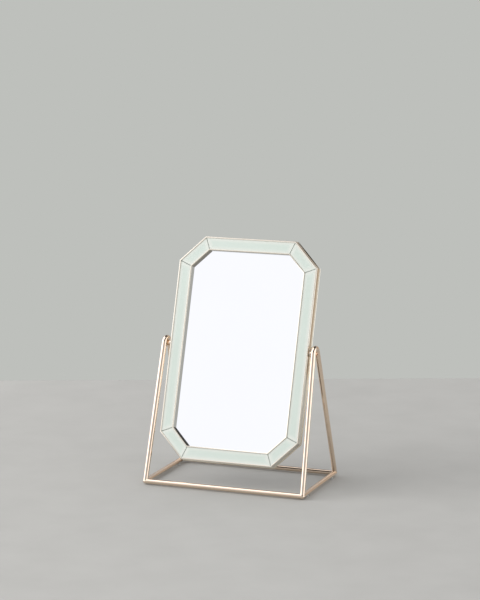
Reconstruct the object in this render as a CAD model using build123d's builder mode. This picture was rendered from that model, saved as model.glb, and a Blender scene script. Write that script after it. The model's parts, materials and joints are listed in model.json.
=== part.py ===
"""Tilting table mirror: an eight-sided mirror head in a stand of bent round rod.

Millimetres. +X is the viewer's right, +Y points away from the viewer and +Z is up. The origin is on the
table top, under the middle of the stand. The head is built on tilted planes, each at a named depth behind
the front edge of its rim.
"""

import os
from math import asin, atan2, cos, degrees, hypot, radians, sin, sqrt

from build123d import *

# --- Stand -------------------------------------------------------------------------------------------
rod_diameter = 6.0  # one size of round bar for the whole stand
stand_depth = 115.0  # between the centrelines of the front and rear rails
stand_splay = 4.7  # how far a hairpin's feet stand outside its crook, between centrelines
hairpin_clearance = 4.05  # between the rim and a hairpin, along the tilt axis
crook_bend_radius = 7.0  # of the centreline, where a hairpin turns over the pivot
swing_clearance = 17.0  # between the ring and the foot of the head as it swings past
weld_lap = 1.0  # how far a leg's coped foot reaches down over the ring

pad_diameter = 5.0  # clear stick-on pads under the side rails
pad_lift = 1.0  # how far the pads hold the ring off the table
pad_wrap = 0.8  # how far a pad squeezes up round the rod
pad_inset = 14.0  # from the front and rear rails to the pads

# --- Mirror head -------------------------------------------------------------------------------------
mirror_width = 176.5
mirror_height = 270.0
corner_cut = 30.5  # leg of the 45 degree cut at each corner
border_width = 16.4  # from the outside of the rim to the mirror opening
tilt_angle = 18.4  # how far the head leans back
pivot_rise = 3.0  # pivot above the middle of the head, so that it hangs steady

lip_thickness = 0.7  # sheet metal of the rim's and the trim's front lips
lip_bevel = 0.3  # where the rim and the trim fold over into their lips
rim_wall = 1.2
rim_lip = 1.8  # width of the rim's front face
bead_radius = 0.8  # of the rolled edge at the back of the rim
trim_wall = 0.8
trim_lip = 1.5  # width of the trim's front face

strip_thickness = 2.5
strip_joint = 0.3  # open joint between two mitred strips
strip_bevel_width = 1.2
strip_bevel_depth = 0.35
glass_clearance = 0.1  # round each strip of glass and the mirror plate

mirror_thickness = 3.0
mirror_overlap = 3.0  # how far the plate runs on under the strips
board_thickness = 6.0
board_clearance = 0.2  # between the board or the cover and the rim
cover_thickness = 1.2
cover_recess = 0.6  # from the back edge of the rim to the cover

back_screw_inset = 7.5  # from the outside of the rim to the back screws
back_screw_spread = 90.0  # from the middle of the head up and down to the back screws
back_screw_shank = 2.0
back_screw_length = 5.0
back_screw_head = 4.4
back_screw_head_height = 1.0
back_screw_clearance = 0.2  # radial, in the cover's holes

# --- Pivots ------------------------------------------------------------------------------------------
screw_shank = 3.0
screw_length = 16.0
screw_head = 5.7
screw_head_height = 1.65
socket_size = 2.0  # across the flats of the screw's hexagon socket
socket_depth = 1.0
running_clearance = 0.05  # radial, screw in sleeve
hole_clearance = 0.1  # radial, screw in rim and washers
side_gap = 0.05  # between a turning face and a still one
washer_thickness = 1.0
washer_clearance = 0.2  # between a friction washer and the rolled edge of the rim
spring_washer_diameter = 5.6
spring_washer_thickness = 0.7
spring_washer_split = 0.8
insert_diameter = 4.8
insert_length = 8.0
insert_clearance = 0.02  # radial, insert in board and screw in insert
braze_gap = 0.02  # radial, sleeve in the hairpin's crook

# --- Worked out from the sizes above -----------------------------------------------------------------
rod_radius = rod_diameter / 2
ring_height = pad_lift + rod_radius
ring_top = pad_lift + rod_diameter
side_x = mirror_width / 2
crook_x = side_x + hairpin_clearance + rod_radius
foot_x = crook_x + stand_splay
foot_y = stand_depth / 2
pivot_height = ring_top + swing_clearance + mirror_height / 2 + pivot_rise

# Depths behind the front edge of the rim.
mirror_front = lip_thickness + strip_thickness
cover_front = mirror_front + board_thickness
cover_back = cover_front + cover_thickness
rim_depth = cover_back + cover_recess
bead_depth = rim_depth - bead_radius
pivot_depth = mirror_front + board_thickness / 2

# Insets from the outside of the rim.
strip_outer_inset = rim_wall + glass_clearance
trim_outer_inset = border_width - trim_wall
strip_inner_inset = trim_outer_inset - glass_clearance
mirror_inset = border_width - mirror_overlap
board_inset = rim_wall + board_clearance

# Moving a 45 degree corner in by 1 shortens the leg of its cut by this much.
cut_per_inset = 2 - sqrt(2)

# Along the tilt axis, outwards from the middle of the head.
insert_outer_x = side_x - board_inset
sleeve_inner_x = side_x + washer_thickness + side_gap
screw_seat_x = crook_x + rod_radius - screw_head_height
sleeve_outer_x = screw_seat_x - spring_washer_thickness - side_gap
sleeve_diameter = 2 * (crook_bend_radius - rod_radius - braze_gap)
washer_diameter = 2 * (bead_depth - bead_radius - washer_clearance - pivot_depth)

tilt = radians(tilt_angle)
head_plane = Plane(origin=(0, 0, pivot_height), x_dir=(1, 0, 0), z_dir=(0, -cos(tilt), sin(tilt)))
sides = {"left": -1, "right": 1}


def depth_plane(depth):
    """The plane across the head at a depth behind the front edge of the rim, facing the viewer."""
    return head_plane.offset(pivot_depth - depth)


def axis_plane(side, distance):
    """The plane square to the tilt axis at a distance from the middle, facing outwards."""
    origin = Vector(side * distance, 0, pivot_height)
    return Plane(origin=origin, x_dir=head_plane.y_dir, z_dir=(side, 0, 0))


def octagon(inset):
    """The outline of the head, moved in by inset."""
    with BuildSketch(mode=Mode.PRIVATE) as outline:
        with Locations((0, -pivot_rise)):
            Rectangle(mirror_width - 2 * inset, mirror_height - 2 * inset)
        chamfer(outline.vertices(), corner_cut - cut_per_inset * inset)
    return outline.sketch


def octagon_corners(inset):
    """The eight corners of that outline, anticlockwise from the upper end of the right side."""
    half_width = mirror_width / 2 - inset
    half_height = mirror_height / 2 - inset
    cut = corner_cut - cut_per_inset * inset
    upper = [
        (half_width, half_height - cut),
        (half_width - cut, half_height),
        (cut - half_width, half_height),
        (-half_width, half_height - cut),
    ]
    lower = [(-x, -y) for x, y in upper]
    return [(x, y - pivot_rise) for x, y in upper + lower]


def finish(piece, name):
    """Labels a finished piece and writes it."""
    piece.part.label = name
    export_step(piece.part, f"parts/{name}.step")


os.makedirs("parts", exist_ok=True)

# --- Base ring: four lengths of rod, welded at the corners and ground round --------------------------------
with BuildPart() as base_ring:
    for across, rail_length, rail_gap in ((Axis.X, 2 * foot_x, 2 * foot_y), (Axis.Y, 2 * foot_y, 2 * foot_x)):
        outwards = across.direction.cross(Vector(0, 0, 1))
        for way in (-1, 1):
            middle = outwards * (way * rail_gap / 2) + Vector(0, 0, ring_height)
            with BuildSketch(Plane(origin=middle, z_dir=across.direction)):
                Circle(rod_radius)
            extrude(amount=rail_length / 2, both=True)
    with Locations((0, 0, ring_height)):
        with GridLocations(2 * foot_x, 2 * foot_y, 2, 2):
            Sphere(rod_radius)
finish(base_ring, "base_ring")

# --- Hairpins: two straight legs, tangent to the bend over the pivot ------------------------------------
for side_name, side in sides.items():
    foot = Vector(side * foot_x, 0, ring_height)
    crook = Vector(side * crook_x, 0, pivot_height)
    up = (crook - foot).normalized()
    leaning = Plane(origin=foot, x_dir=(0, 1, 0), z_dir=Vector(0, 1, 0).cross(up))
    crook_rise = (crook - foot).length
    # The angle of a leg from the crook's middle line.
    leg_angle = degrees(atan2(foot_y, crook_rise) - asin(crook_bend_radius / hypot(foot_y, crook_rise)))
    with BuildPart() as hairpin:
        with BuildLine(leaning) as hairpin_path:
            bend = CenterArc((0, crook_rise), crook_bend_radius, leg_angle, 180 - 2 * leg_angle)
            Line((foot_y, 0), bend @ 0)
            Line(bend @ 1, (-foot_y, 0))
        rod_path = hairpin_path.wires()[0]
        with BuildSketch(Plane(origin=rod_path @ 0, z_dir=rod_path % 0)):
            Circle(rod_radius)
        sweep(path=rod_path)
        split(bisect_by=Plane.XY.offset(ring_top - weld_lap), keep=Keep.TOP)
        add(base_ring.part, mode=Mode.SUBTRACT)
    finish(hairpin, f"hairpin_{side_name}")

    with BuildPart() as sleeve:
        with BuildSketch(axis_plane(side, sleeve_inner_x)):
            Circle(sleeve_diameter / 2)
            Circle(screw_shank / 2 + running_clearance, mode=Mode.SUBTRACT)
        extrude(amount=sleeve_outer_x - sleeve_inner_x)
    finish(sleeve, f"pivot_sleeve_{side_name}")

# --- Grip pads: soft discs that squeeze up round the rod -------------------------------------------------
with BuildPart() as grip_pads:
    with BuildSketch():
        with GridLocations(2 * foot_x, stand_depth - 2 * pad_inset, 2, 2):
            Circle(pad_diameter / 2)
    extrude(amount=pad_lift + pad_wrap)
    add(base_ring.part, mode=Mode.SUBTRACT)
finish(grip_pads, "grip_pads")

# --- Outer rim: a folded band with a lip over the glass and a rolled edge at the back ---------------------
with BuildPart() as outer_rim:
    with BuildSketch(depth_plane(rim_depth)):
        add(octagon(0))
    extrude(amount=rim_depth)
    with BuildSketch(depth_plane(rim_depth)):
        add(octagon(rim_wall))
    extrude(amount=rim_depth - lip_thickness, mode=Mode.SUBTRACT)
    with BuildSketch(depth_plane(lip_thickness)):
        add(octagon(rim_lip))
    extrude(amount=lip_thickness, mode=Mode.SUBTRACT)
    front_face = outer_rim.faces().sort_by(Axis(head_plane.origin, head_plane.z_dir))[-1]
    chamfer(front_face.outer_wire().edges(), lip_bevel)
    with BuildLine(depth_plane(bead_depth)) as bead_path:
        Polyline(*octagon_corners(0), close=True)
    top_edge = bead_path.edges().sort_by(Axis(head_plane.origin, head_plane.y_dir))[-1]
    with BuildSketch(Plane(origin=top_edge @ 0.5, z_dir=top_edge % 0.5)):
        Circle(bead_radius)
    sweep(path=bead_path.wires()[0], transition=Transition.RIGHT)
    with BuildSketch(Plane.YZ):
        with Locations((0, pivot_height)):
            Circle(screw_shank / 2 + hole_clearance)
    extrude(amount=mirror_width, both=True, mode=Mode.SUBTRACT)
finish(outer_rim, "outer_rim")

# --- Inner trim: a folded moulding that stands on the mirror and laps over the strips ---------------------
with BuildPart() as inner_trim:
    with BuildSketch(depth_plane(mirror_front)):
        add(octagon(trim_outer_inset))
    extrude(amount=mirror_front)
    with BuildSketch(depth_plane(lip_thickness)):
        add(octagon(border_width - trim_lip))
    extrude(amount=lip_thickness)
    with BuildSketch(depth_plane(mirror_front)):
        add(octagon(border_width))
    extrude(amount=mirror_front, mode=Mode.SUBTRACT)
    front_face = inner_trim.faces().sort_by(Axis(head_plane.origin, head_plane.z_dir))[-1]
    chamfer(front_face.inner_wires().edges(), lip_bevel)
finish(inner_trim, "inner_trim")

# --- Border: eight mitred strips, bevelled along every front edge -----------------------------------------
strip_names = ["top_right", "top", "top_left", "left", "bottom_left", "bottom", "bottom_right", "right"]
outer_corners = octagon_corners(strip_outer_inset)
inner_corners = octagon_corners(strip_inner_inset)
for number, strip_name in enumerate(strip_names):
    following = (number + 1) % len(strip_names)
    with BuildPart() as strip:
        with BuildSketch(depth_plane(mirror_front)):
            with BuildLine():
                Polyline(
                    outer_corners[number],
                    outer_corners[following],
                    inner_corners[following],
                    inner_corners[number],
                    close=True,
                )
            make_face()
            offset(amount=-strip_joint / 2, kind=Kind.INTERSECTION)
        extrude(amount=strip_thickness)
        front_face = strip.faces().sort_by(Axis(head_plane.origin, head_plane.z_dir))[-1]
        chamfer(front_face.edges(), strip_bevel_depth, strip_bevel_width, reference=front_face)
    finish(strip, f"glass_{strip_name}")

# --- Mirror plate, board and cover -----------------------------------------------------------------------
with BuildPart() as mirror_glass:
    with BuildSketch(depth_plane(mirror_front + mirror_thickness)):
        add(octagon(mirror_inset))
    extrude(amount=mirror_thickness)
finish(mirror_glass, "mirror_glass")

back_screw_x = side_x - back_screw_inset
back_screw_heights = (-back_screw_spread - pivot_rise, back_screw_spread - pivot_rise)
back_screw_places = [(side * back_screw_x, y) for side in sides.values() for y in back_screw_heights]
with BuildPart() as backing_board:
    with BuildSketch(depth_plane(cover_front)):
        add(octagon(board_inset))
    extrude(amount=board_thickness)
    with BuildSketch(depth_plane(mirror_front)):
        add(octagon(mirror_inset - glass_clearance))
    extrude(amount=-mirror_thickness, mode=Mode.SUBTRACT)
    for side in sides.values():
        with BuildSketch(axis_plane(side, insert_outer_x - insert_length)):
            Circle(insert_diameter / 2 + insert_clearance)
        extrude(amount=insert_length, mode=Mode.SUBTRACT)
    with BuildSketch(depth_plane(cover_front)):
        with Locations(*back_screw_places):
            Circle(back_screw_shank / 2)
    extrude(amount=back_screw_length - cover_thickness, mode=Mode.SUBTRACT)
finish(backing_board, "backing_board")

with BuildPart() as back_cover:
    with BuildSketch(depth_plane(cover_back)):
        add(octagon(board_inset))
        with Locations(*back_screw_places):
            Circle(back_screw_shank / 2 + back_screw_clearance, mode=Mode.SUBTRACT)
    extrude(amount=cover_thickness)
finish(back_cover, "back_cover")

with BuildPart() as back_screws:
    with BuildSketch(depth_plane(cover_back)):
        with Locations(*back_screw_places):
            Circle(back_screw_shank / 2)
    extrude(amount=back_screw_length)
    with BuildSketch(depth_plane(cover_back)):
        with Locations(*back_screw_places):
            Circle(back_screw_head / 2)
    extrude(amount=-back_screw_head_height)
finish(back_screws, "back_screws")

# --- Pivots: screw, washers and threaded insert on each side ------------------------------------------------
for side_name, side in sides.items():
    with BuildPart() as insert:
        with BuildSketch(axis_plane(side, insert_outer_x)):
            Circle(insert_diameter / 2)
            Circle(screw_shank / 2 + insert_clearance, mode=Mode.SUBTRACT)
        extrude(amount=-insert_length)
    finish(insert, f"pivot_insert_{side_name}")

    with BuildPart() as friction_washer:
        with BuildSketch(axis_plane(side, side_x)):
            Circle(washer_diameter / 2)
            Circle(screw_shank / 2 + hole_clearance, mode=Mode.SUBTRACT)
        extrude(amount=washer_thickness)
    finish(friction_washer, f"friction_washer_{side_name}")

    with BuildPart() as spring_washer:
        with BuildSketch(axis_plane(side, screw_seat_x)):
            Circle(spring_washer_diameter / 2)
            Circle(screw_shank / 2 + hole_clearance, mode=Mode.SUBTRACT)
            with Locations((0, spring_washer_diameter / 2)):
                Rectangle(spring_washer_split, spring_washer_diameter, mode=Mode.SUBTRACT)
        extrude(amount=-spring_washer_thickness)
    finish(spring_washer, f"spring_washer_{side_name}")

    with BuildPart() as screw:
        with BuildSketch(axis_plane(side, screw_seat_x)):
            Circle(screw_shank / 2)
        extrude(amount=-screw_length)
        with BuildSketch(axis_plane(side, screw_seat_x)):
            Circle(screw_head / 2)
        extrude(amount=screw_head_height)
        with BuildSketch(axis_plane(side, screw_seat_x + screw_head_height)):
            RegularPolygon(socket_size / 2, 6, major_radius=False)
        extrude(amount=-socket_depth, mode=Mode.SUBTRACT)
    finish(screw, f"pivot_screw_{side_name}")
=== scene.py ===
# %% [markdown]
# # A tilting table mirror
#
# The object is an eight-sided mirror with a border of mint glass strips, hung between two hairpin legs on a
# ring of polished rose-gold rod. The imported model already holds every piece at its real size, so this file
# only dresses it: it gives each surface its finish, adds the small things that a drawing leaves out, and
# sets up a floor, soft light from the sides and a camera.
#
# The first cell loads the imported model.

import json
import math

import bmesh
import bpy
from mathutils import Matrix, Vector


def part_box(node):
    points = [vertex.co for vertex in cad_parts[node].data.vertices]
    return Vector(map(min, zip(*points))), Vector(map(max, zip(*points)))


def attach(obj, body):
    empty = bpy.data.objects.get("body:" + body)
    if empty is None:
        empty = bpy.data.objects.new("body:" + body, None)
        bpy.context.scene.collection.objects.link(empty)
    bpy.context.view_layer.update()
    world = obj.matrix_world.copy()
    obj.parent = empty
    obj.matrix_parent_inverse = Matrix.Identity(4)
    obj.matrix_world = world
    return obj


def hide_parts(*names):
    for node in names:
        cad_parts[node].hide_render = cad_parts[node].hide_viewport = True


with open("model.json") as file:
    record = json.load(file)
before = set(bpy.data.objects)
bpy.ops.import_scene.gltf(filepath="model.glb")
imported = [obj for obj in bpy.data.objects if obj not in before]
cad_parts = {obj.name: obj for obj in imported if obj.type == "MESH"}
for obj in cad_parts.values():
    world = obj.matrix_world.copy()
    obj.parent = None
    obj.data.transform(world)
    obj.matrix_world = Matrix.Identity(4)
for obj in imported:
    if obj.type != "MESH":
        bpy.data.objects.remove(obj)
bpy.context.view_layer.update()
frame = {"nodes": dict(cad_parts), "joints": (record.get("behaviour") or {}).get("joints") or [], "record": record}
MM = 0.001

# %% [markdown]
# ## The head's own directions
#
# The head leans back, so its pieces are easiest to describe across the head, up its face and out of its
# face. The joint gives the tilt axis, and the largest face of the mirror plate gives the direction out of
# the face. Nothing in this cell repeats a size from the drawing: each one is measured on the loaded
# pieces.

# %% Measure the head
pivot = Vector(frame["joints"][0]["pos_m"])
FORWARDS = -0.5  # a face looks to the front where the Y part of its normal is below this
plate_faces = frame["nodes"]["mirror_glass"].data.polygons
front_faces = [face for face in plate_faces if face.normal.y < FORWARDS]
face_out = max(front_faces, key=lambda face: face.area).normal.copy()
face_across = Vector((1, 0, 0))
face_up = face_out.cross(face_across)
lean = math.asin(face_out.z)

strip_corners = []
for name, node in frame["nodes"].items():
    if name.startswith("glass_"):
        offsets = [vertex.co - pivot for vertex in node.data.vertices]
        strip_corners += [(offset.dot(face_across), offset.dot(face_up)) for offset in offsets]
border_top = max(up for across, up in strip_corners)
border_bottom = min(up for across, up in strip_corners)
border_centre = (border_top + border_bottom) / 2
border_half_width = max(across for across, up in strip_corners)
border_half_height = (border_top - border_bottom) / 2
border_corner = max(abs(across) + abs(up - border_centre) for across, up in strip_corners)
rim_depths = [(vertex.co - pivot).dot(face_out) for vertex in frame["nodes"]["outer_rim"].data.vertices]
rim_front = max(rim_depths)
rim_depth = rim_front - min(rim_depths)
border_width = 2 * border_half_width / MM
print("lean", round(math.degrees(lean), 2), "degrees, border", round(border_width, 1), "mm wide")

# %% [markdown]
# ## Making materials
#
# Every finish below is made from a few nodes. One function adds a node, sets its values and links its
# inputs, so that a material reads as a short list. Colours are written as the hex values that a paint chart
# gives, and one function turns them into the linear values that Blender mixes light with.

# %% Colour and node helpers
def linear(hex_colour):
    """An sRGB hex colour as linear red, green, blue and alpha."""
    channels = [int(hex_colour[start : start + 2], 16) / 255 for start in (0, 2, 4)]
    return [c / 12.92 if c <= 0.04045 else ((c + 0.055) / 1.055) ** 2.4 for c in channels] + [1.0]


def find_socket(sockets, key):
    """A socket by its number, or the one in use that has this name."""
    if isinstance(key, int):
        return sockets[key]
    return next(socket for socket in sockets if socket.name == key and socket.enabled)


def add_node(tree, kind, settings=None, links=None):
    """Adds a node, sets its properties and input values, and links inputs to (node, output) pairs."""
    node = tree.nodes.new(kind)
    for key, value in (settings or {}).items():
        if isinstance(key, str) and hasattr(node, key):
            setattr(node, key, value)
        else:
            find_socket(node.inputs, key).default_value = value
    for key, (source, output) in (links or {}).items():
        tree.links.new(find_socket(source.outputs, output), find_socket(node.inputs, key))
    return node


def new_material(name):
    """An empty material and its node tree."""
    material = bpy.data.materials.new(name)
    material.use_nodes = True
    material.node_tree.nodes.clear()
    return material, material.node_tree


print("black and white as linear values:", linear("000000"), linear("ffffff"))

# %% [markdown]
# ### Rose gold: polished and plated steel
#
# The rods and the bands are mild steel, polished, plated with a copper-rich gold and lacquered. Plating
# keeps the polish, so the metal shows the room as a warm mirror. What gives it away as a made thing is
# small: the lacquer lies slightly uneven, and the belt that polished it left faint lines. A metal keeps the
# default IOR, and its colour does the work.

# %% Rose gold
POLISH_GRAIN = 0.5 * MM  # the belt's lines, drawn coarser than real so that they show
LACQUER_WAVE = 8 * MM  # how far apart the lacquer's thick and thin places lie


def bright_metal(name, colour, deep_colour, roughness):
    """Metal under a clear coat, whose tone, gloss and surface wander a little."""
    material, tree = new_material(name)
    place = add_node(tree, "ShaderNodeTexCoord")
    wave = add_node(
        tree, "ShaderNodeTexNoise", {"Scale": 1 / LACQUER_WAVE, "Detail": 2.0}, {"Vector": (place, "Object")}
    )
    grain = add_node(
        tree, "ShaderNodeTexNoise", {"Scale": 1 / POLISH_GRAIN, "Detail": 1.0}, {"Vector": (place, "Object")}
    )
    tone = add_node(
        tree,
        "ShaderNodeMix",
        {"data_type": "RGBA", "A": linear(colour), "B": linear(deep_colour)},
        {"Factor": (wave, "Fac")},
    )
    gloss = add_node(
        tree,
        "ShaderNodeMapRange",
        {"To Min": roughness * 0.6, "To Max": roughness * 1.4},
        {"Value": (grain, "Fac")},
    )
    relief = add_node(
        tree, "ShaderNodeBump", {"Strength": 0.01, "Distance": 0.02 * MM}, {"Height": (wave, "Fac")}
    )
    metal = add_node(
        tree,
        "ShaderNodeBsdfPrincipled",
        {"Metallic": 1.0, "Coat Weight": 1.0, "Coat Roughness": 0.05},
        {"Base Color": (tone, "Result"), "Roughness": (gloss, "Result"), "Normal": (relief, "Normal")},
    )
    add_node(tree, "ShaderNodeOutputMaterial", {}, {"Surface": (metal, "BSDF")})
    return material


rod_metal = bright_metal("plated_rose_gold_rod", "f1ddc8", "e8cfb5", roughness=0.06)
band_metal = bright_metal("plated_rose_gold_band", "ebe4d4", "e4dac7", roughness=0.09)
screw_metal = bright_metal("plated_rose_gold_screw", "e6bf9c", "d7a883", roughness=0.16)
print("rose gold:", rod_metal.name, band_metal.name, screw_metal.name)

# %% [markdown]
# ### Mint glass: float glass painted on its back
#
# Each strip of the border is ordinary float glass with its front edges ground off and its back painted a
# pale mint. The eye sees a glossy, even colour that turns whiter towards the ground edges, where the cut
# glass scatters light, and a thin dull line where two strips meet. That whitening is a painted highlight: it
# is mixed into the colour, in place of the light that the ground edges scatter. So the material needs to
# know how far a point is from the border's edges and from the joints. Both distances follow from the shape:
# folded into one quarter, the octagon has three straight edges, and a joint is where the two nearest are
# equally near.

# %% Distances on the border
def border_distances(tree):
    """Nodes for the distance in from the border's outer edge and for the distance from the nearest joint."""
    place = add_node(tree, "ShaderNodeTexCoord")
    upright = Matrix.Rotation(lean, 3, "X")
    centre = pivot + face_up * border_centre
    # A mapping turns first and moves after, so it moves by the centre as turned.
    on_face = add_node(
        tree,
        "ShaderNodeMapping",
        {"Rotation": (lean, 0, 0), "Location": -(upright @ centre)},
        {"Vector": (place, "Object")},
    )
    mirrored = add_node(tree, "ShaderNodeVectorMath", {"operation": "ABSOLUTE"}, {0: (on_face, "Vector")})
    diagonal = math.sqrt(0.5)
    found = {}
    for name, direction, reach in (
        ("side", (-1, 0, 0), border_half_width),
        ("end", (0, 0, -1), border_half_height),
        ("corner", (-diagonal, 0, -diagonal), border_corner * diagonal),
    ):
        settings = {"operation": "DOT_PRODUCT", 1: direction}
        along = add_node(tree, "ShaderNodeVectorMath", settings, {0: (mirrored, "Vector")})
        settings = {"operation": "ADD", 1: reach}
        found[name] = add_node(tree, "ShaderNodeMath", settings, {0: (along, "Value")})
    # The least of the three is the distance to the edge, and the joint is where the next one equals it.
    for name, operation, first, second in (
        ("nearer", "MINIMUM", "side", "end"),
        ("farther", "MAXIMUM", "side", "end"),
        ("nearest", "MINIMUM", "nearer", "corner"),
        ("other", "MAXIMUM", "nearer", "corner"),
        ("next", "MINIMUM", "farther", "other"),
        ("from_joint", "SUBTRACT", "next", "nearest"),
    ):
        links = {0: (found[first], "Value"), 1: (found[second], "Value")}
        found[name] = add_node(tree, "ShaderNodeMath", {"operation": operation}, links)
    return found["nearest"], found["from_joint"]


print("on the diagonal edges, across and up add to", round(border_corner / MM, 1), "mm")

# %% Mint glass
STRIP_WIDTH = 14.2 * MM  # of one strip, across the border
PAINT_CLOUD = 30 * MM  # how far apart the paint's thick and thin places lie
# The whiter band at the ground edges is a painted highlight, and the next number is how far in it reaches.
PAINTED_HIGHLIGHT_REACH = 5.5 * MM  # how far in the ground edges lighten the glass
JOINT_LINE = 0.3 * MM  # half the dull line between two strips before it fades, drawn wide so that it shows
JOINT_SLOPE = 2 * math.sin(math.radians(22.5))  # how fast the joint distance grows across a joint


def mint_glass(name):
    """Glossy glass over pale paint, with painted highlights near the ground edges, dull along the joints."""
    material, tree = new_material(name)
    from_edge, from_joint = border_distances(tree)
    place = add_node(tree, "ShaderNodeTexCoord")
    mottle = add_node(
        tree, "ShaderNodeTexNoise", {"Scale": 1 / PAINT_CLOUD, "Detail": 2.0}, {"Vector": (place, "Object")}
    )
    paint = add_node(
        tree,
        "ShaderNodeMix",
        {"data_type": "RGBA", "A": linear("dbe7de"), "B": linear("e0eae2")},
        {"Factor": (mottle, "Fac")},
    )
    far_edge = add_node(
        tree, "ShaderNodeMath", {"operation": "SUBTRACT", 0: STRIP_WIDTH}, {1: (from_edge, "Value")}
    )
    near_edge = add_node(
        tree, "ShaderNodeMath", {"operation": "MINIMUM"}, {0: (from_edge, "Value"), 1: (far_edge, "Value")}
    )
    near_ground = add_node(
        tree, "ShaderNodeMath", {"operation": "MINIMUM"}, {0: (near_edge, "Value"), 1: (from_joint, "Value")}
    )
    # Painted highlight: near the ground edges and joints the paint is mixed towards white, in place of scattered
    # light.
    painted_highlight = add_node(
        tree,
        "ShaderNodeMapRange",
        {"interpolation_type": "SMOOTHSTEP", "From Max": PAINTED_HIGHLIGHT_REACH, "To Min": 1.0, "To Max": 0.0},
        {"Value": (near_ground, "Value")},
    )
    lit = add_node(
        tree,
        "ShaderNodeMix",
        {"data_type": "RGBA", "B": linear("eff2ea")},
        {"Factor": (painted_highlight, "Result"), "A": (paint, "Result")},
    )
    dull = add_node(
        tree,
        "ShaderNodeMapRange",
        {
            "interpolation_type": "SMOOTHSTEP",
            "From Min": JOINT_LINE * JOINT_SLOPE,
            "From Max": 2 * JOINT_LINE * JOINT_SLOPE,
            "To Min": 1.0,
            "To Max": 0.0,
        },
        {"Value": (from_joint, "Value")},
    )
    colour = add_node(
        tree,
        "ShaderNodeMix",
        {"data_type": "RGBA", "B": linear("d3dbd4")},
        {"Factor": (dull, "Result"), "A": (lit, "Result")},
    )
    glass = add_node(
        tree,
        "ShaderNodeBsdfPrincipled",
        {"IOR": 1.5, "Roughness": 0.04},
        {"Base Color": (colour, "Result")},
    )
    add_node(tree, "ShaderNodeOutputMaterial", {}, {"Surface": (glass, "BSDF")})
    return material


mint = mint_glass("back_painted_mint_glass")
print("mint glass:", len(mint.node_tree.nodes), "nodes")

# %% [markdown]
# ### The mirror: silvered float glass
#
# A mirror is float glass with a silver coat on its back. Float glass is drawn out flat on molten tin, so its
# waves are too shallow to see at arm's length, and the silver returns a little less red than green.

# %% Silvered glass
SILVER_WAVE = 90 * MM  # how far apart the waves of float glass lie


def silvered_glass(name):
    """A clean mirror, with waves too shallow to see at arm's length."""
    material, tree = new_material(name)
    place = add_node(tree, "ShaderNodeTexCoord")
    wave = add_node(tree, "ShaderNodeTexNoise", {"Scale": 1 / SILVER_WAVE}, {"Vector": (place, "Object")})
    tone = add_node(
        tree,
        "ShaderNodeMix",
        {"data_type": "RGBA", "A": linear("f7f8f8"), "B": linear("f9faf9")},
        {"Factor": (wave, "Fac")},
    )
    relief = add_node(
        tree, "ShaderNodeBump", {"Strength": 0.02, "Distance": 0.02 * MM}, {"Height": (wave, "Fac")}
    )
    silver = add_node(
        tree,
        "ShaderNodeBsdfPrincipled",
        {"Metallic": 1.0, "Roughness": 0.01},
        {"Base Color": (tone, "Result"), "Normal": (relief, "Normal")},
    )
    add_node(tree, "ShaderNodeOutputMaterial", {}, {"Surface": (silver, "BSDF")})
    return material


mirror_silver = silvered_glass("silvered_float_glass")
print("mirror:", mirror_silver.name)

# %% [markdown]
# ### The back: card covered in grey flock, on fibreboard
#
# A table mirror's back is usually closed with stiff card that has short fibres glued to it, which looks like
# velvet: dark face on, and paler where it turns away, because the fibre tips catch light. Hands brush the
# fibres over in patches, so the tone also drifts broadly. Behind the glass lies a sheet of fibreboard, brown
# and faintly speckled with its pressed fibres. The washers at the pivots are moulded nylon, nearly of one
# tone, with a soft gloss.

# %% Flock and fibreboard
FIBRE = 0.9 * MM  # a tuft of flock, drawn coarser than its fibres so that it shows
DRIFT = 14  # how many specks wide a patch of one tone is
TONE_SPREAD = 0.4  # how far specks and drift together stray from 1, their middle


def speckled(name, colour, deep_colour, speck, roughness, bump, sheen=0.0):
    """A matte surface of two tones in specks that gather in drifts, raised a little where they are light."""
    material, tree = new_material(name)
    place = add_node(tree, "ShaderNodeTexCoord")
    specks = add_node(
        tree, "ShaderNodeTexNoise", {"Scale": 1 / speck, "Detail": 3.0}, {"Vector": (place, "Object")}
    )
    patches = {"Scale": 1 / (DRIFT * speck), "Detail": 2.0}
    drift = add_node(tree, "ShaderNodeTexNoise", patches, {"Vector": (place, "Object")})
    both = add_node(tree, "ShaderNodeMath", {"operation": "ADD"}, {0: (specks, "Fac"), 1: (drift, "Fac")})
    limits = {"From Min": 1 - TONE_SPREAD, "From Max": 1 + TONE_SPREAD}
    spread = add_node(tree, "ShaderNodeMapRange", limits, {"Value": (both, 0)})
    tone = add_node(
        tree,
        "ShaderNodeMix",
        {"data_type": "RGBA", "A": linear(deep_colour), "B": linear(colour)},
        {"Factor": (spread, 0)},
    )
    relief = add_node(
        tree, "ShaderNodeBump", {"Strength": bump, "Distance": speck / 3}, {"Height": (specks, "Fac")}
    )
    surface = add_node(
        tree,
        "ShaderNodeBsdfPrincipled",
        {"Roughness": roughness, "Sheen Weight": sheen, "Sheen Roughness": 0.4},
        {"Base Color": (tone, "Result"), "Normal": (relief, "Normal")},
    )
    add_node(tree, "ShaderNodeOutputMaterial", {}, {"Surface": (surface, "BSDF")})
    return material


flock = speckled("grey_flocked_card", "6b655f", "4d4843", speck=FIBRE, roughness=0.95, bump=0.5, sheen=0.35)
fibreboard = speckled("pressed_fibreboard", "a58561", "7d6146", speck=0.8 * MM, roughness=0.85, bump=0.3)
nylon = speckled("moulded_nylon", "e9e6de", "dedad0", speck=1.5 * MM, roughness=0.45, bump=0.05)
print("matte finishes:", flock.name, fibreboard.name, nylon.name)

# %% [markdown]
# ### Clear silicone pads
#
# The pads under the ring are cast from clear silicone, which is slightly milky: it lets part of the light
# through and scatters the rest. A fully clear pad would look black here, because under the ring there is
# only shade behind it.

# %% Clear silicone
HAZE = 2 * MM  # how far apart the milky places lie


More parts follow.
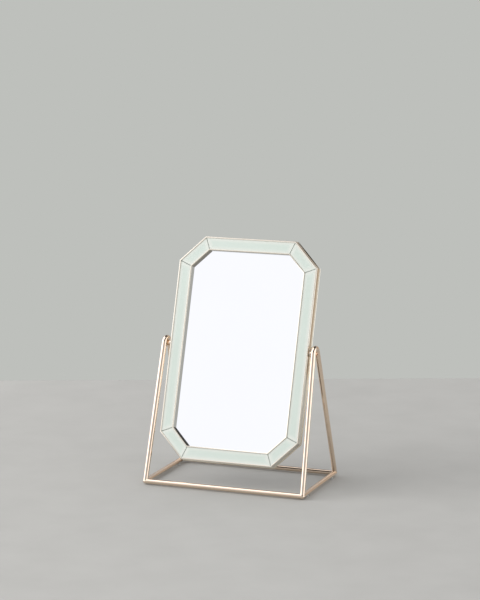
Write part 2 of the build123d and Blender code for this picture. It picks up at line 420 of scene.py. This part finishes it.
def clear_silicone(name):
    """Silicone that is partly clear and partly white."""
    material, tree = new_material(name)
    place = add_node(tree, "ShaderNodeTexCoord")
    haze = add_node(tree, "ShaderNodeTexNoise", {"Scale": 1 / HAZE}, {"Vector": (place, "Object")})
    tone = add_node(
        tree,
        "ShaderNodeMix",
        {"data_type": "RGBA", "A": linear("f4f6f5"), "B": linear("e8ecea")},
        {"Factor": (haze, "Fac")},
    )
    silicone = add_node(
        tree,
        "ShaderNodeBsdfPrincipled",
        {"Transmission Weight": 0.4, "IOR": 1.41, "Roughness": 0.3},
        {"Base Color": (tone, "Result")},
    )
    add_node(tree, "ShaderNodeOutputMaterial", {}, {"Surface": (silicone, "BSDF")})
    return material


silicone = clear_silicone("cast_clear_silicone")
print("pads:", silicone.name)

# %% [markdown]
# ### Brass and zinc: turned and plated small parts
#
# The threaded inserts are turned brass, and the screws of the back and the spring washers are steel with a
# thin bright zinc plate. Turning and tumbling leave them duller than a polished rod. They use the rose
# gold's recipe, clear coat and all, with their own colours and a rougher surface.

# %% Brass and zinc
brass = bright_metal("turned_brass", "e3c888", "cdae6a", roughness=0.28)
zinc = bright_metal("zinc_plated_steel", "c9ccd0", "b2b6bc", roughness=0.30)
print("small metals:", brass.name, zinc.name)

# %% [markdown]
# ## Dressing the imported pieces
#
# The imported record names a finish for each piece, so one table from finish to material dresses them all.

# %% Assign the materials
finishes = {
    "rose_gold_rod": rod_metal,
    "rose_gold_sheet": band_metal,
    "rose_gold_screw": screw_metal,
    "mint_glass": mint,
    "silvered_glass": mirror_silver,
    "fibreboard": fibreboard,
    "flocked_card": flock,
    "brass": brass,
    "zinc_plated_steel": zinc,
    "nylon": nylon,
    "clear_silicone": silicone,
}
for subpart in frame["record"]["subparts"]:
    node = frame["nodes"][subpart["node"]]
    node.data.materials.clear()
    node.data.materials.append(finishes[subpart["material_slot"]])

# %% [markdown]
# ## The rim and the trim, with rolled edges
#
# Sheet metal that is folded over a glass edge never has a sharp corner: the fold leaves a round shoulder,
# and the free edge at the back is rolled into a bead so that it can't cut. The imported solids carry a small
# flat in place of that shoulder. Here the rim and the trim are drawn again as one profile each, swept round
# the octagon, and they replace their solids. Another way would be a bevel modifier on the solids, but a
# profile says exactly how large each shoulder is, and its facets stay even.
#
# A shoulder matters more than its size suggests. It turns through a quarter of the room, so it shows as a
# line: cream where it faces a light, dark where it faces the ceiling.

# %% Profiles swept round the octagon
SHARP_ANGLE = math.radians(32)  # faces that turn more than this meet in a sharp edge


def head_point(across, up, depth):
    """A point by its place across and up from the border's centre and its depth behind the rim's front."""
    return pivot + face_across * across + face_up * (border_centre + up) + face_out * (rim_front - depth)


def octagon_corners(inset):
    """The corners of the glass border's outline, moved inwards."""
    half_width = border_half_width - inset
    half_height = border_half_height - inset
    reach = border_corner - inset * math.sqrt(2)
    right = [(half_width, reach - half_width), (reach - half_height, half_height)]
    upper = right + [(-across, up) for across, up in reversed(right)]
    return upper + [(-across, -up) for across, up in upper]


def arc(centre, radii, start, end, steps=6):
    """Points of a profile on an ellipse, from one angle to another in degrees."""
    angles = [math.radians(start + (end - start) * i / steps) for i in range(steps + 1)]
    return [(centre[0] + radii[0] * math.cos(a), centre[1] + radii[1] * math.sin(a)) for a in angles]


def add_piece(name, mesh_data, material, body):
    """Makes an object of a bmesh, with smooth curves and sharp edges, that rides on a body."""
    bmesh.ops.recalc_face_normals(mesh_data, faces=mesh_data.faces)
    mesh = bpy.data.meshes.new(name)
    mesh_data.to_mesh(mesh)
    mesh_data.free()
    mesh.shade_smooth()
    mesh.set_sharp_from_angle(angle=SHARP_ANGLE)
    mesh.materials.append(material)
    piece = bpy.data.objects.new(name, mesh)
    bpy.context.scene.collection.objects.link(piece)
    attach(piece, body)
    return piece


def border_rings(mesh_data, profile):
    """A ring of vertices round the octagon for each pair of inset and depth in a profile."""
    rings = []
    for inset, depth in profile:
        corners = [head_point(across, up, depth) for across, up in octagon_corners(inset)]
        rings.append([mesh_data.verts.new(corner) for corner in corners])
    return rings


def join_rings(mesh_data, rings):
    """Faces from each ring of vertices to the next."""
    for ring, next_ring in zip(rings, rings[1:]):
        for i in range(len(ring)):
            j = (i + 1) % len(ring)
            mesh_data.faces.new((ring[i], ring[j], next_ring[j], next_ring[i]))


def close_over(mesh_data, rings):
    """Faces from each ring to the next, and one face over each end."""
    join_rings(mesh_data, rings)
    mesh_data.faces.new(rings[0])
    mesh_data.faces.new(rings[-1])


def sweep_round_border(profile):
    """A bmesh of a closed profile, in pairs of inset and depth, carried round the octagon."""
    mesh_data = bmesh.new()
    rings = border_rings(mesh_data, profile)
    join_rings(mesh_data, rings + rings[:1])
    return mesh_data


print("border corners in mm:", [(round(x / MM, 1), round(y / MM, 1)) for x, y in octagon_corners(0)[:2]])

# %% Rim and trim
BEAD_RADIUS = 0.8 * MM  # of the rolled edge at the back of the rim
RIM_WALL = 1.2 * MM
RIM_LIP = 1.8 * MM  # width of the rim's front face
RIM_SHOULDER = (0.5 * MM, 1.6 * MM)  # across the lip and back along the side
TRIM_WALL = 0.8 * MM
TRIM_LIP = 1.5 * MM  # width of the trim's front face
TRIM_SHOULDER = (0.7 * MM, 0.9 * MM)  # across the lip and back along the wall
LIP_THICKNESS = 0.7 * MM
LIP_ROUND = 0.15 * MM  # on the front of each lip's free edge
GLASS_GAP = 0.1 * MM  # between the strips and the trim
TRIM_INSIDE = STRIP_WIDTH + TRIM_WALL + GLASS_GAP
PLATE_FRONT = 3.2 * MM  # of the real mirror plate, behind the front of the rim
SILVER_DEPTH = 2.0 * MM  # how far behind the front of the plate its silver appears to lie

# The rolled edge stands out from the rim's side by its radius, so the side lies that far inside the box.
rim_outside = border_half_width - (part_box("outer_rim")[1][0] - BEAD_RADIUS)
rim_profile = [(rim_outside + RIM_LIP, LIP_THICKNESS)]
rim_profile += arc((rim_outside + RIM_LIP - LIP_ROUND, LIP_ROUND), (LIP_ROUND, LIP_ROUND), 0, -90, steps=3)
rim_profile += arc((rim_outside + RIM_SHOULDER[0], RIM_SHOULDER[1]), RIM_SHOULDER, 270, 180, steps=8)
rim_profile += arc((rim_outside, rim_depth - BEAD_RADIUS), (BEAD_RADIUS, BEAD_RADIUS), 270, 90, steps=10)
rim_profile += [(rim_outside + RIM_WALL, rim_depth), (rim_outside + RIM_WALL, LIP_THICKNESS)]
rim_data = sweep_round_border(rim_profile)
rolled_rim = add_piece("rolled_rim", rim_data, band_metal, "head")
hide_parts("outer_rim")

trim_profile = [(TRIM_INSIDE - TRIM_LIP, LIP_THICKNESS)]
lip_centre = (TRIM_INSIDE - TRIM_LIP + LIP_ROUND, LIP_ROUND)
trim_profile += arc(lip_centre, (LIP_ROUND, LIP_ROUND), 180, 270, steps=3)
trim_profile += arc((TRIM_INSIDE - TRIM_SHOULDER[0], TRIM_SHOULDER[1]), TRIM_SHOULDER, 270, 360)
trim_foot = PLATE_FRONT + SILVER_DEPTH
trim_profile += [(TRIM_INSIDE, trim_foot), (TRIM_INSIDE - TRIM_WALL, trim_foot)]
trim_profile += [(TRIM_INSIDE - TRIM_WALL, LIP_THICKNESS)]
trim_data = sweep_round_border(trim_profile)
rolled_trim = add_piece("rolled_trim", trim_data, band_metal, "head")
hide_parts("inner_trim")
print("rim", len(rim_profile), "and trim", len(trim_profile), "points round")

# %% [markdown]
# ## The mirror plate
#
# A mirror is silvered on its back, so the eye looks through three millimetres of glass and sees the silver
# about two millimetres down, because glass makes depths look shallower. That is why the trim seems deeper in
# a mirror than it is, and why its reflection starts a little way from its foot. The plate is drawn with its
# face where the silver appears. Real glass over silver would do the same, but it costs many more light paths
# and looks grey wherever glass isn't traced.

# %% Mirror plate
PLATE_INSET = 12.2 * MM  # from the border's outline in to the plate's edge, which the strips hide
PLATE_BACK = 6.15 * MM  # behind the front of the rim
PLATE_CHAMFER = 0.2 * MM  # round its face
plate_profile = [
    (PLATE_INSET, PLATE_BACK),
    (PLATE_INSET, trim_foot + PLATE_CHAMFER),
    (PLATE_INSET + PLATE_CHAMFER, trim_foot),
]
plate_data = bmesh.new()
close_over(plate_data, border_rings(plate_data, plate_profile))
plate = add_piece("mirror_plate", plate_data, mirror_silver, "head")
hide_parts("mirror_glass")
print("mirror plate:", round((PLATE_BACK - trim_foot) / MM, 2), "mm thick behind its silver")

# %% [markdown]
# ## Sealed joints in the border
#
# The strips are glued down, and a little of the adhesive rises in each joint between two of them. It is what
# turns a black gap into a soft grey line. Each seam is a narrow bar with a peaked top, which follows the
# joint from the rim to the trim. Its peak stands 0.3 mm proud of the glass, which is higher than on a wiped
# joint and makes the seam easy to see.

# %% Joint seams
SEAM_WIDTH = 0.3 * MM
SEAM_TOP = 0.4 * MM  # of its peak, behind the front of the rim; the glass begins at LIP_THICKNESS
SEAM_PEAK = 0.1 * MM  # how far the peak stands above the sides
SEAM_BOTTOM = 3.0 * MM
SEAM_SECTION = [
    (1, SEAM_BOTTOM),
    (1, SEAM_TOP + SEAM_PEAK),
    (0, SEAM_TOP),
    (-1, SEAM_TOP + SEAM_PEAK),
    (-1, SEAM_BOTTOM),
]
adhesive = speckled("cured_adhesive", "d6ddd6", "cad2ca", speck=0.5 * MM, roughness=0.5, bump=0.2)
seam_data = bmesh.new()
for outer, inner in zip(octagon_corners(0), octagon_corners(STRIP_WIDTH)):
    along = Vector((inner[0] - outer[0], inner[1] - outer[1])).normalized()
    aside = Vector((-along.y, along.x)) * SEAM_WIDTH / 2
    ends = []
    for across, up in (outer, inner):
        corners = [head_point(across + share * aside.x, up + share * aside.y, d) for share, d in SEAM_SECTION]
        ends.append([seam_data.verts.new(corner) for corner in corners])
    close_over(seam_data, ends)
seams = add_piece("joint_seams", seam_data, adhesive, "head")
print("joint seams:", len(seams.data.polygons), "faces")

# %% [markdown]
# ## Screws
#
# A plain cylinder reads as a peg. The pivot screws are button heads: a low dome with a hexagon socket, which
# is how a maker lets the owner set how stiffly the mirror tilts. The back screws are pan heads with a cross
# recess. Both are made as a turned part is, from a profile of rings about an axis, and the recess is the
# same rings pulled in to the shape of the driver.

# %% Turned screws
RING = 48  # points round a screw
LAND = 1.35  # radius of the flat round a recess, as a multiple of the recess's own
EDGE_SHARE = 0.25  # of a head's height, its upright edge below the dome
DOME_STEPS = 6
TIP_TAPER = 0.3 * MM  # length of the taper at the shank's tip
TIP_SHARE = 0.8  # of the shank's radius, at the very tip


def hexagon(across_flats):
    """The radius of a hexagon at each step round a ring."""
    turns = [((360 * i / RING + 30) % 60) - 30 for i in range(RING)]
    return [across_flats / 2 / math.cos(math.radians(turn)) for turn in turns]


def cross(length, width):
    """The radius of a cross with four arms at each step round a ring."""
    turns = [math.radians(((360 * i / RING + 45) % 90) - 45) for i in range(RING)]
    # Straight along an arm the sine is zero, and the arm's length sets the radius.
    return [min(length / 2, width / 2 / max(abs(math.sin(turn)), 1e-6)) for turn in turns]


def screw_rings(head, height, shank, length, recess, recess_depth):
    """Rings of a screw from the tip of its shank to the floor of its recess, as radii and a height."""
    rings = [([shank / 2 * TIP_SHARE] * RING, -length), ([shank / 2] * RING, -length + TIP_TAPER)]
    rings += [([shank / 2] * RING, 0.0), ([head / 2] * RING, 0.0)]
    rings.append(([head / 2] * RING, height * EDGE_SHARE))
    dome_end = math.acos(LAND * max(recess) / (head / 2))
    for i in range(1, DOME_STEPS + 1):
        angle = dome_end * i / DOME_STEPS
        rise = EDGE_SHARE + (1 - EDGE_SHARE) * math.sin(angle)
        rings.append(([head / 2 * math.cos(angle)] * RING, height * rise))
    top = rings[-1][1]
    return rings + [(recess, top), (recess, top - recess_depth)]


def add_screw(mesh_data, seat, axis, rings):
    """Adds a screw to a bmesh, with its head's underside at a point."""
    across = Vector((0, 0, 1)).cross(axis).normalized()
    up = axis.cross(across)
    loops = []
    for radii, height in rings:
        loop = []
        for i, radius in enumerate(radii):
            angle = 2 * math.pi * i / RING
            spoke = across * (radius * math.cos(angle)) + up * (radius * math.sin(angle))
            loop.append(mesh_data.verts.new(seat + axis * height + spoke))
        loops.append(loop)
    close_over(mesh_data, loops)


PIVOT_HEAD_HEIGHT = 1.65 * MM
pivot_rings = screw_rings(
    head=5.7 * MM,
    height=PIVOT_HEAD_HEIGHT,
    shank=3.0 * MM,
    length=16.0 * MM,
    recess=hexagon(across_flats=2.0 * MM),
    recess_depth=1.0 * MM,
)
for side, sign in (("left", -1), ("right", 1)):
    low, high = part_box("pivot_screw_" + side)
    head_end = high[0] if sign > 0 else low[0]
    seat = Vector((head_end - sign * PIVOT_HEAD_HEIGHT, pivot.y, pivot.z))
    screw_data = bmesh.new()
    add_screw(screw_data, seat, Vector((sign, 0, 0)), pivot_rings)
    button = add_piece("button_screw_" + side, screw_data, screw_metal, "head")
    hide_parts("pivot_screw_" + side)

BACK_HEAD_HEIGHT = 1.0 * MM
back_rings = screw_rings(
    head=4.4 * MM,
    height=BACK_HEAD_HEIGHT,
    shank=2.0 * MM,
    length=5.0 * MM,
    recess=cross(length=2.2 * MM, width=0.55 * MM),
    recess_depth=0.55 * MM,
)
offsets = [vertex.co - pivot for vertex in frame["nodes"]["back_screws"].data.vertices]
back_end = min(offset.dot(face_out) for offset in offsets)
places = [(offset.dot(face_across), offset.dot(face_up)) for offset in offsets]
pan_data = bmesh.new()
for side in (-1, 1):
    for level in (-1, 1):
        own = [place for place in places if place[0] * side > 0 and place[1] * level > 0]
        across = (min(place[0] for place in own) + max(place[0] for place in own)) / 2
        up = (min(place[1] for place in own) + max(place[1] for place in own)) / 2
        seat = pivot + face_across * across + face_up * up + face_out * (back_end + BACK_HEAD_HEIGHT)
        add_screw(pan_data, seat, -face_out, back_rings)
pan_screws = add_piece("pan_screws", pan_data, zinc, "head")
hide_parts("back_screws")
print("back screws sit", round(-back_end / MM, 2), "mm behind the pivot's plane")

# %% [markdown]
# ## The floor
#
# A plain pale table top carries the object's soft shadow. It is large but not endless, and it lies square
# to the camera, so that its far edge is a level line behind the object. Past its other edges the polished
# metal sees the room down to a little below the horizon, as it does on a real table.

# %% Floor
CAMERA_AZIMUTH = math.radians(21.552)  # how far round to the right the camera stands
# How far the table top reaches from under the object, in metres.
FLOOR_SIDE = 1.1
FLOOR_FRONT = 1.2
FLOOR_BACK = 0.56
PLASTER_SPECK = 60 * MM  # how large the smaller of the plaster's patches of tone are
floor_mesh = bpy.data.meshes.new("floor")
turn = Matrix.Rotation(CAMERA_AZIMUTH, 3, "Z")
floor_corners = [(-FLOOR_SIDE, -FLOOR_FRONT), (FLOOR_SIDE, -FLOOR_FRONT), (FLOOR_SIDE, FLOOR_BACK)]
floor_corners.append((-FLOOR_SIDE, FLOOR_BACK))
floor_mesh.from_pydata([turn @ Vector((x, y, 0)) for x, y in floor_corners], [], [(0, 1, 2, 3)])
floor = bpy.data.objects.new("floor", floor_mesh)
bpy.context.scene.collection.objects.link(floor)
plaster = speckled("pale_plaster_floor", "bbbab6", "b2b1ad", speck=PLASTER_SPECK, roughness=0.7, bump=0.0)
floor_mesh.materials.append(plaster)
print("floor", 2 * FLOOR_SIDE, "by", FLOOR_FRONT + FLOOR_BACK, "m")

# %% [markdown]
# ## The light
#
# Polished metal and a mirror show their surroundings, so the light is made as surroundings. A tall bright
# window on the left fills the mirror and draws the white line down each leg. A lit panel on the right draws
# the cream line beside it, and the dim gap between them is the dark line in the middle of each leg. Behind
# the object hangs a backdrop. Each is a soft-edged part of the sky, chosen by its direction, and one table
# holds them all.
#
# A matte surface needs no picture of the room, only light. It gets a soft box on the left and a soft fill
# that is stronger from behind, together at the level at which a colour renders about as it is written. The
# soft box is hidden from reflections, because there the window already stands for it, and matte surfaces
# see the fill in place of the room. The camera itself sees a plain pale backdrop.

# %% Surroundings
def tinted(level, hex_colour):
    """A light of one level and colour."""
    return [level * channel for channel in linear(hex_colour)[:3]] + [1.0]


WINDOW = tinted(1.08, "f9f9ff")
WINDOW_SIDE = tinted(2.2, "f8f9ff")
PANEL = tinted(1.60, "f8faff")
FRONT_ROOM = tinted(0.54, "f2f7ff")
LOW_ROOM = tinted(0.25, "ffffff")
CEILING = tinted(0.06, "ffffff")
BACKDROP = tinted(0.49, "ffead4")
FILL_BACK = tinted(0.92, "ffffff")
FILL_FRONT = tinted(0.62, "ffffff")
SEEN_BACKDROP = linear("bec0bc")

world = bpy.data.worlds.new("studio")
bpy.context.scene.world = world
world.use_nodes = True
sky = world.node_tree
sky.nodes.clear()
direction = add_node(sky, "ShaderNodeTexCoord")
parts = add_node(sky, "ShaderNodeSeparateXYZ", {}, {"Vector": (direction, "Generated")})
frontwards = add_node(sky, "ShaderNodeMath", {"operation": "MULTIPLY", 1: -1.0}, {0: (parts, "Y")})
azimuth = add_node(sky, "ShaderNodeMath", {"operation": "ARCTAN2"}, {0: (parts, "X"), 1: (frontwards, 0)})

# Where an edge may lie: the node and output that say where a direction is, and how its numbers are written.
measures = {
    "azimuth": (azimuth, 0, math.radians),  # degrees, 0 in front and 90 on the right
    "height": (parts, "Z", lambda degrees: math.sin(math.radians(degrees))),  # degrees above the horizon
    "behind": (parts, "Y", float),  # 0 beside the object and 1 straight behind it
}
below = {}  # the first light lies over the low room, and each later one over those before it
for light, *edges in (
    (FRONT_ROOM, ("height", -3, 14)),
    (CEILING, ("height", 31, 37)),
    (BACKDROP, ("behind", 0.45, 0.7), ("height", 27, 15)),
    (PANEL, ("azimuth", 48, 58), ("azimuth", 142, 134), ("height", 57, 42)),
    (WINDOW, ("azimuth", -12, -15), ("azimuth", -138, -128), ("height", 6, 15)),
    (WINDOW_SIDE, ("azimuth", -32, -45), ("azimuth", -138, -128)),
    (CEILING, ("behind", 0.15, 0.35), ("height", 35, 48)),
):
    cover = None
    for measure, start, end in edges:
        source, output, written = measures[measure]
        limits = {"interpolation_type": "SMOOTHSTEP", "From Min": written(start), "From Max": written(end)}
        edge = add_node(sky, "ShaderNodeMapRange", limits, {"Value": (source, output)})
        if cover:
            edge = add_node(sky, "ShaderNodeMath", {"operation": "MULTIPLY"}, {0: (cover, 0), 1: (edge, 0)})
        cover = edge
    colours = {"data_type": "RGBA", "A": LOW_ROOM, "B": light}
    surroundings = add_node(sky, "ShaderNodeMix", colours, {"Factor": (cover, 0), **below})
    below = {"A": (surroundings, "Result")}

seen_by = add_node(sky, "ShaderNodeLightPath")
whole_turn = {"From Min": -1.0, "From Max": 1.0}  # from straight behind to straight in front
from_front = add_node(sky, "ShaderNodeMapRange", whole_turn, {"Value": (frontwards, 0)})
fill = add_node(
    sky, "ShaderNodeMix", {"data_type": "RGBA", "A": FILL_BACK, "B": FILL_FRONT}, {"Factor": (from_front, 0)}
)
light = add_node(
    sky,
    "ShaderNodeMix",
    {"data_type": "RGBA"},
    {"Factor": (seen_by, "Diffuse Depth"), "A": (surroundings, "Result"), "B": (fill, "Result")},
)
shown = add_node(
    sky,
    "ShaderNodeMix",
    {"data_type": "RGBA", "B": SEEN_BACKDROP},
    {"Factor": (seen_by, "Is Camera Ray"), "A": (light, "Result")},
)
background = add_node(sky, "ShaderNodeBackground", {}, {"Color": (shown, "Result")})
add_node(sky, "ShaderNodeOutputWorld", {}, {"Surface": (background, "Background")})
bpy.context.scene.view_settings.view_transform = "Standard"
print("surroundings:", len(sky.nodes), "nodes")

# %% Soft box
SOFT_BOX_SIZE = 2.4  # metres along each side
SOFT_BOX_DISTANCE = 3.0  # metres from the pivot
SOFT_BOX_AZIMUTH = math.radians(-60)  # round to the left of the front
SOFT_BOX_HEIGHT = math.radians(24)
SOFT_BOX_POWER = 53.0  # watts
soft_light = bpy.data.lights.new("soft_box", "AREA")
soft_light.size = SOFT_BOX_SIZE
soft_light.energy = SOFT_BOX_POWER
soft_box = bpy.data.objects.new("soft_box", soft_light)
bpy.context.scene.collection.objects.link(soft_box)
towards_light = Vector(
    (
        math.sin(SOFT_BOX_AZIMUTH) * math.cos(SOFT_BOX_HEIGHT),
        -math.cos(SOFT_BOX_AZIMUTH) * math.cos(SOFT_BOX_HEIGHT),
        math.sin(SOFT_BOX_HEIGHT),
    )
)
soft_box.location = pivot + towards_light * SOFT_BOX_DISTANCE
soft_box.rotation_euler = towards_light.to_track_quat("Z", "Y").to_euler()
soft_box.visible_glossy = False
print("soft box", SOFT_BOX_DISTANCE, "m away at", [round(v, 2) for v in soft_box.location])

# %% [markdown]
# ## The camera
#
# The camera stands where the photograph's did: 2.8 metres off, a little to the right of the object and
# above it, with a long lens. Its place and angles were worked out from the straight edges in the
# photograph.

# %% Camera
CAMERA_PLACE = Vector((998.8, -2528.4, 727.6)) * MM
CAMERA_PITCH = math.radians(10.558)
CAMERA_ROLL = math.radians(-0.285)
CAMERA_LENS = 139.6  # millimetres
CAMERA_SENSOR = 36.0  # millimetres, along the longer side of the picture
camera = bpy.data.cameras.new("camera")
camera.lens = CAMERA_LENS
camera.sensor_width = CAMERA_SENSOR
camera_object = bpy.data.objects.new("camera", camera)
bpy.context.scene.collection.objects.link(camera_object)
camera_object.matrix_world = (
    Matrix.Translation(CAMERA_PLACE)
    @ Matrix.Rotation(CAMERA_AZIMUTH, 4, "Z")
    @ Matrix.Rotation(math.pi / 2 - CAMERA_PITCH, 4, "X")
    @ Matrix.Rotation(CAMERA_ROLL, 4, "Z")
)
bpy.context.scene.camera = camera_object
print("camera", [round(v, 3) for v in CAMERA_PLACE], "m")
